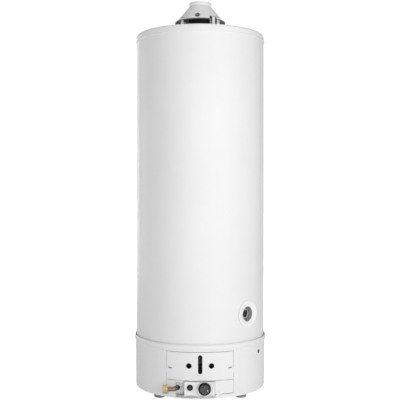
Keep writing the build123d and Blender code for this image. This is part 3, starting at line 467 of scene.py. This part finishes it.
def thread(r, depth, pitch, low, high):
    """Outline points of a right-handed thread between two heights; a negative depth is an inside thread."""
    count = round((high - low) / pitch * THREAD_STEPS)
    points = []
    for i in range(count + 1):
        h = low + (high - low) * i / count
        fade = min(1, (h - low) / pitch, (high - h) / pitch)

        def reach(turn, h=h, fade=fade):
            wave = 0.5 - 0.5 * cos(tau * h / pitch - turn)
            return r - depth * fade * wave

        points.append((reach, h))
    return points


def flats(across, sides, limit):
    """The radius of a regular polygon that far across its flats, its corners turned down to a limit."""
    def reach(turn):
        sector = tau / sides
        off = (turn + sector / 2) % sector - sector / 2
        return min(across / 2 / cos(off), limit)

    return reach


def facing(x, y, z, turn=0.0):
    """Puts a shape's Z axis along -Y at a place in millimetres, then turns it round the tank towards +X."""
    upright = Matrix.Translation((x, y, z)) @ Matrix.Rotation(pi / 2, 4, "X")
    return Matrix.Rotation(radians(turn), 4, "Z") @ upright


def piece(name, mesh, finish, body, replaced=(), crease=38):
    """Make a piece of a mesh in millimetres, with its finish, the nodes it stands for and its body."""
    bmesh.ops.recalc_face_normals(mesh, faces=mesh.faces)
    data = bpy.data.meshes.new(name)
    mesh.to_mesh(data)
    mesh.free()
    data.transform(Matrix.Scale(MM, 4))
    for face in data.polygons:
        face.use_smooth = True
    data.set_sharp_from_angle(angle=radians(crease))
    data.materials.append(finishes[finish])
    obj = link(name, data)
    if replaced:
        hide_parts(*replaced)
    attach(obj, body)
    return obj


def span(name):
    """A CAD node's lowest corner, highest corner and middle, in millimetres."""
    low, high = (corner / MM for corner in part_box(name))
    return low, high, (low + high) / 2


# ---- knob and igniter ---------------------------------------------------------------------
def make_knob():
    """The ribbed knob: a shallow dish in front with a white dot as a painted highlight and fine ticks, and
    a hub behind.
    """
    low, high, middle = span("control_knob")
    r = (high.x - low.x) / 2
    depth = high.y - low.y
    disc = depth - KNOB_HUB_LENGTH
    place = facing(middle.x, high.y, middle.z)

    def rib(turn):
        return r - RIB_DEPTH * max(0.0, cos(turn * KNOB_RIBS)) ** 2

    outline = [(0, depth - 2.6), (6, depth - 2.5), (12, depth - 2.1)]
    outline += rounded(
        (17.4, depth - 1.7, 0), (18.2, depth - 0.6, 0.5), (18.6, depth, 0.3), (19.4, depth, 0.4)
    )
    outline += [(lambda t: rib(t) - 1.9, depth - 1.5), (lambda t: rib(t) - 0.5, depth - 3.6)]
    outline += [(rib, depth - 4.8), (rib, depth - disc + 0.8)]
    outline += [(lambda t: rib(t) - 0.7, depth - disc), (15.5, depth - disc), (15.5, 0.4), (15.1, 0)]
    outline += [(11.2, 0), (11.2, 8.2), (7.0, 8.2), (7.0, 0.0)]
    outline += [(4.1, 0.0), (4.1, depth - 5), (0, depth - 5)]
    body = lathe(outline, place, steps=KNOB_RIBS * KNOB_RIB_STEPS)
    piece("knob", body, "knob_moulding", "knob", ["control_knob"])

    face = [(0, depth - 2.3), (6, depth - 2.2), (12, depth - 1.8), (16.8, depth - 1.45)]
    face += [(17.0, depth - 1.6), (17.0, depth - 1.85), (12, depth - 2.2), (6, depth - 2.6)]
    face += [(0, depth - 2.7)]
    piece("knob_face", lathe(face, place), "grey_moulding", "knob")

    # a white dot where the dish's highlight falls: a painted highlight
    dot_place = place @ Matrix.Translation((*KNOB_DOT, depth - 2.4))
    dot = [(0, 1.2), (1.4, 1.15), (1.9, 0.8), (2.0, 0), (0, 0)]
    piece("knob_painted_highlight", lathe(dot, dot_place, steps=24), "white_moulding", "knob")

    ticks = bmesh.new()
    for k in range(KNOB_TICKS):
        angle = KNOB_TICKS_FROM + k * KNOB_TICKS_SPREAD / (KNOB_TICKS - 1)
        turn = Matrix.Rotation(radians(angle), 4, "Z")
        at = place @ turn @ Matrix.Translation((13.6, 0, depth - 1.95))
        block(ticks, (1.3, 0.3, 0.45), at)
    piece("knob_ticks", ticks, "dull_print", "knob")


def make_igniter():
    """The eight-sided ring nut of the igniter, and its push button with a dished face."""
    low, high, middle = span("piezo_bezel")
    depth = high.y - low.y
    place = facing(middle.x, high.y, middle.z) @ Matrix.Rotation(pi / 8, 4, "Z")
    across = high.x - low.x
    flat = [flats(across, 8, across * 0.525), flats(across, 8, across * 0.54)]
    outline = [(8.1, 0.3), (8.4, 0), (flat[0], 0), (flat[1], 0.5)]
    outline += [(flat[1], depth - 1.2), (flat[0], depth - 0.5)]
    outline += rounded((10.4, depth, 0.4), (8.9, depth, 0.4), (8.1, depth - 0.7, 0.3), (8.1, 2.0, 0))
    piece("igniter_ring", lathe(outline, place), "black_moulding", "casing", ["piezo_bezel"])

    low, high, middle = span("piezo_button")
    depth = high.y - low.y
    place = facing(middle.x, high.y, middle.z)
    head = high.x - low.x
    neck = depth - IGNITER_HEAD_LENGTH
    outline = [(0, depth - 0.4), (1.6, depth - 0.4), (2.0, depth - 1.0), (4.4, depth - 1.0)]
    outline += [(5.6, depth - 0.5)]
    outline += rounded((6.2, depth, 0.3), (head / 2, depth, 0.9), (head / 2, neck, 0))
    outline += [(4.9, neck), (4.9, 0), (0, 0)]
    piece("igniter_button_cap", lathe(outline, place), "black_moulding", "igniter_button", ["piezo_button"])

    mark = [(2.6, 0), (2.7, 0.35), (3.5, 0.35), (3.6, 0)]
    mark_place = place @ Matrix.Translation((0, 0, depth - 1.1))
    rings = lathe(mark, mark_place, steps=32)
    lathe([(0, 0.9), (0.7, 0.9), (0.9, 0.7), (0.9, 0), (0, 0)], mark_place, steps=24, mesh=rings)
    piece("igniter_mark", rings, "dull_print", "igniter_button")


# ---- pipe ends ----------------------------------------------------------------------------
def make_gas_nut():
    """The brass inlet nut, with turned-down corners and its inside thread."""
    low, high, middle = span("gas_inlet_nut")
    length = high.x - low.x
    place = Matrix.Translation((high.x, middle.y, middle.z)) @ Matrix.Rotation(-pi / 2, 4, "Y")
    place = place @ Matrix.Rotation(pi / 6, 4, "Z")
    across = min(high.y - low.y, high.z - low.z) * 0.9999
    tall = (high.z - low.z) / 2
    hexagon = [flats(across, 6, across / 2 * k) for k in (1.0, 1.05)]
    limit = flats(across, 6, tall)
    outline = [(hexagon[0], 0), (hexagon[1], 0.5), (limit, 1.6), (limit, length - 1.6)]
    outline += [(hexagon[1], length - 0.5), (hexagon[0], length), (11.2, length), (10.4, length - 0.8)]
    outline += thread(9.35, -1.0, G_THREAD_PITCH, length - 8.3, length - 0.9)[::-1]
    outline += [(9.5, length - 8.5), (9.5, length - 10.6), (7.56, length - 10.6), (7.56, 0.6), (8.2, 0)]
    nut = lathe(outline, place, steps=120)
    piece("gas_nut", nut, "brass", "inlet_nut", ["gas_inlet_nut"], crease=THREAD_CREASE)


def make_nipples():
    """The threaded ends of the hot and cold water nipples."""
    for name in ("hot_outlet_nipple", "cold_inlet_nipple"):
        low, high, middle = span(name)
        r = (high.x - low.x) / 2
        length = high.z - low.z
        start = length - NIPPLE_THREAD_LENGTH
        outline = [(10.6, 0), (r - 0.2, 0), (r - 0.2, start)]
        outline += thread(r, 1.1, G_THREAD_PITCH, start, length - 1.2)
        outline += [(r - 1.0, length - 0.2), (r - 1.4, length), (11.0, length), (10.6, length - 0.4)]
        place = Matrix.Translation((middle.x, middle.y, low.z))
        body = lathe(outline, place, steps=72)
        piece(name + "_threaded", body, "nipple_steel", "casing", [name], crease=THREAD_CREASE)


def make_anode_head():
    """The anode's hexagon plug, with its corners turned down."""
    low, high, middle = span("anode_plug")
    length = high.z - low.z
    head = length - ANODE_HEAD_HEIGHT
    corner = (high.x - low.x) / 2
    across = corner * sqrt(3)
    tops = [flats(across, 6, across / 2 * k) for k in (1.0, 1.06)]
    full = flats(across, 6, corner)
    outline = [(0, length), (tops[0], length), (tops[1], length - 0.7), (full, length - 2.2)]
    outline += [(full, head + 1), (tops[0], head), (13.2, head), (13.2, 0), (0, 0)]
    place = Matrix.Translation((middle.x, middle.y, low.z))
    head = lathe(outline, place)
    piece("anode_head", head, "nipple_steel", "casing", ["anode_plug"], crease=THREAD_CREASE)


def make_side_socket():
    """The steel cup of the side port, and the threaded socket inside it."""
    mount = next(m for m in frame["record"]["mounts"] if m["name"] == "side_port")
    x, y, z = (value / MM for value in mount["pos_m"])
    neck = sqrt(x ** 2 + y ** 2) - PORT_BACK
    rim = PORT_RIM - PORT_BACK
    cup = [(26.35, 10.4), *rounded((26.35, rim, 0), (28.4, rim, 0))]
    cup += [(28.4, 8.4), (17.85, 8.4), (17.85, 10.4)]
    place = facing(0, -PORT_BACK, z, turn=degrees(atan2(x, -y)))
    mesh = lathe(cup, place)
    socket = [(13.5, 0), (17.8, 0), (17.8, neck - 0.9), (17.0, neck), (14.3, neck), (13.5, neck - 0.8)]
    lathe(socket, place, mesh=mesh)
    piece("side_port_cup", mesh, "socket_steel", "casing", ["side_port_socket"], crease=THREAD_CREASE)

    # the threaded bore is near black, which paints the shade inside the socket
    sleeve = [(13.3, 0.3), (13.3, neck - 0.9), (12.7, neck - 0.9)]
    sleeve += thread(12.06, -1.0, G_THREAD_PITCH, 0.6, neck - 1.0)[::-1] + [(12.6, 0.3)]
    bore = lathe(sleeve, place)
    piece("side_port_thread", bore, "bore_steel_painted_shade", "casing", crease=THREAD_CREASE)


def make_feet():
    """Moulded rubber feet with two grooves round them, and the pegs that hold them in the base."""
    foot = [(0, 0.6), (12, 0.6)]
    foot += rounded((14.0, 0, 0.5), (20.0, 0, 3.0), (20.7, 4.2, 0))
    foot += rounded((20.9, 5.0, 0.3), (19.9, 5.9, 0.3), (21.2, 6.8, 0.3), (21.9, 10.6, 0.3))
    foot += rounded((20.9, 11.5, 0.3), (22.2, 12.4, 0.3), (23.0, FOOT_TOP, 0))
    foot += [(0, FOOT_TOP)]
    peg = [(0, 25.8), (3.2, 25.8), (3.9, 25), (3.9, FOOT_TOP - 0.08), (0, FOOT_TOP - 0.08)]
    mesh = bmesh.new()
    for angle in FOOT_ANGLES:
        turn = Matrix.Rotation(radians(angle), 4, "Z")
        lathe(foot, turn @ Matrix.Translation((0, -FOOT_RING_R, 0)), steps=64, mesh=mesh)
        lathe(peg, turn @ Matrix.Translation((0, -FOOT_PEG_RING_R, 0)), steps=32, mesh=mesh)
    piece("rubber_feet", mesh, "foot_rubber", "casing", ["feet"])


make_knob()
make_igniter()
make_gas_nut()
make_nipples()
make_anode_head()
make_side_socket()
make_feet()
